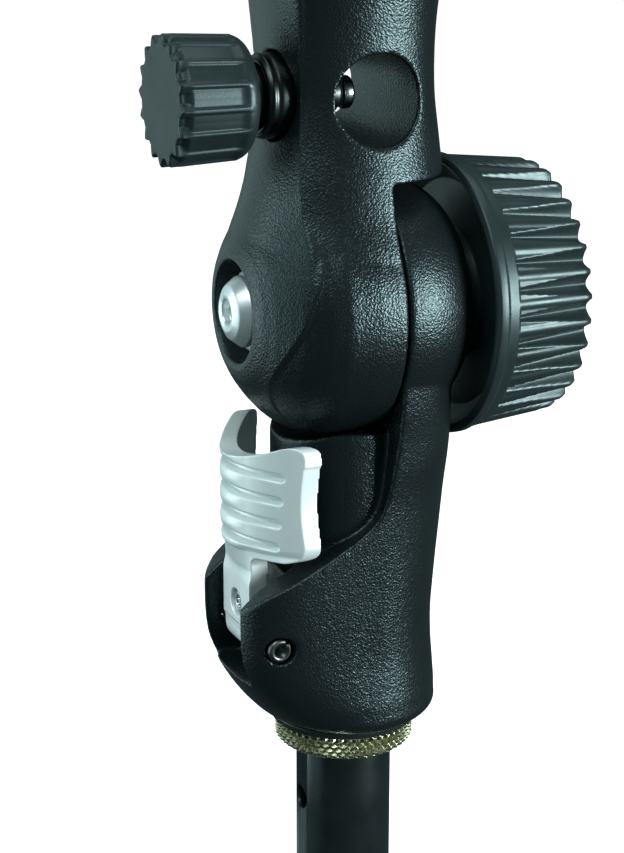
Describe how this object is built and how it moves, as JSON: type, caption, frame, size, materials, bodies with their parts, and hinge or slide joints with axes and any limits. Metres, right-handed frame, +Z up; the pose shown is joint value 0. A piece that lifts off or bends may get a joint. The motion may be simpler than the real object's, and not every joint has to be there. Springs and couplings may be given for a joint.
{
  "type": "tilt head with tube clamp",
  "caption": "Tilt head that clamps to a stand tube with a quick cam lever, with a lockable tilt joint, a cross hole with clamp screw and an accessory shoe.",
  "frame": {"origin": "on the tube's axis at the underside of the knurled ring", "axes": "+Z up along the tube, +X along the tilt axis towards the large tilt knob, -Y towards the front"},
  "size_m": [0.0644, 0.0458, 0.175],
  "materials": {
    "paint": "satin black, fine leather grain",
    "tube": "smooth black",
    "knob": "satin dark grey",
    "bush": "black acetal",
    "lever": "satin",
    "steel": "bright zinc",
    "brass": "knurled, pale",
    "fibre": "fibre friction disc",
    "lining": "grip lining"
  },
  "bodies": {
    "tube": {"stand_tube": "tube"},
    "ring": {"knurled_ring": "brass"},
    "clamp_body": {"lower_body": "paint", "socket_collar": "bush", "socket_upper_bush": "bush", "friction_disc": "fibre", "lever_pin": "steel"},
    "shoe": {"brake_shoe": "lever", "shoe_lining": "lining"},
    "lever": {"cam_lever": "lever"},
    "tension": {"tension_screw": "steel"},
    "arm": {"tilt_arm": "paint", "screw_bush": "brass", "tilt_bolt": "steel", "spring_washer": "steel", "flat_washer": "steel", "shoe_plate": "steel", "shoe_screw_1": "steel", "shoe_screw_2": "steel", "shoe_screw_3": "steel", "shoe_screw_4": "steel"},
    "knob_washer": {"thrust_washer": "steel"},
    "tilt_knob_body": {"tilt_knob": "knob", "knob_nut": "brass", "knob_cap": "knob"},
    "pad": {"nose_pad": "steel"},
    "clamp_knob_body": {"clamp_knob": "knob", "clamp_screw": "steel"}
  },
  "joints": [
    {"name": "pan", "type": "hinge", "parent": "tube", "child": "clamp_body", "pos_m": [0, 0, 0], "axis": [0, 0, 1], "continuous": true},
    {"name": "ring_turn", "type": "hinge", "parent": "tube", "child": "ring", "pos_m": [0, 0, 0], "axis": [0, 0, 1], "continuous": true},
    {"name": "lever_swing", "type": "hinge", "parent": "clamp_body", "child": "lever", "pos_m": [-0.0165, 0, 0.0219], "axis": [0, -1, 0], "range_deg": [0, 66]},
    {"name": "shoe_slide", "type": "slide", "parent": "clamp_body", "child": "shoe", "axis": [-1, 0, 0], "range_m": [0, 0.0006]},
    {"name": "tension_turn", "type": "hinge", "parent": "lever", "child": "tension", "pos_m": [-0.0194, 0, 0.0264], "axis": [1, 0, 0], "continuous": true},
    {"name": "tilt", "type": "hinge", "parent": "clamp_body", "child": "arm", "pos_m": [0, 0, 0.0747], "axis": [1, 0, 0], "range_deg": [-90, 90]},
    {"name": "tilt_knob_travel", "type": "slide", "parent": "clamp_body", "child": "knob_washer", "axis": [1, 0, 0], "range_m": [0, 0.002]},
    {"name": "tilt_knob_turn", "type": "hinge", "parent": "knob_washer", "child": "tilt_knob_body", "pos_m": [0, 0, 0.0747], "axis": [1, 0, 0], "range_deg": [0, 720]},
    {"name": "clamp_screw_travel", "type": "slide", "parent": "arm", "child": "pad", "axis": [1, 0, 0], "range_m": [-0.0047, 0.003]},
    {"name": "clamp_screw_turn", "type": "hinge", "parent": "pad", "child": "clamp_knob_body", "pos_m": [0, 0, 0.108], "axis": [1, 0, 0], "range_deg": [-1690, 1080]}
  ],
  "couplings": [
    {"joint": "shoe_slide", "follows": "lever_swing", "m_per_rad": 0.00052},
    {"joint": "tilt_knob_travel", "follows": "tilt_knob_turn", "m_per_rad": 0.000159},
    {"joint": "clamp_screw_travel", "follows": "clamp_screw_turn", "m_per_rad": 0.000159}
  ]
}
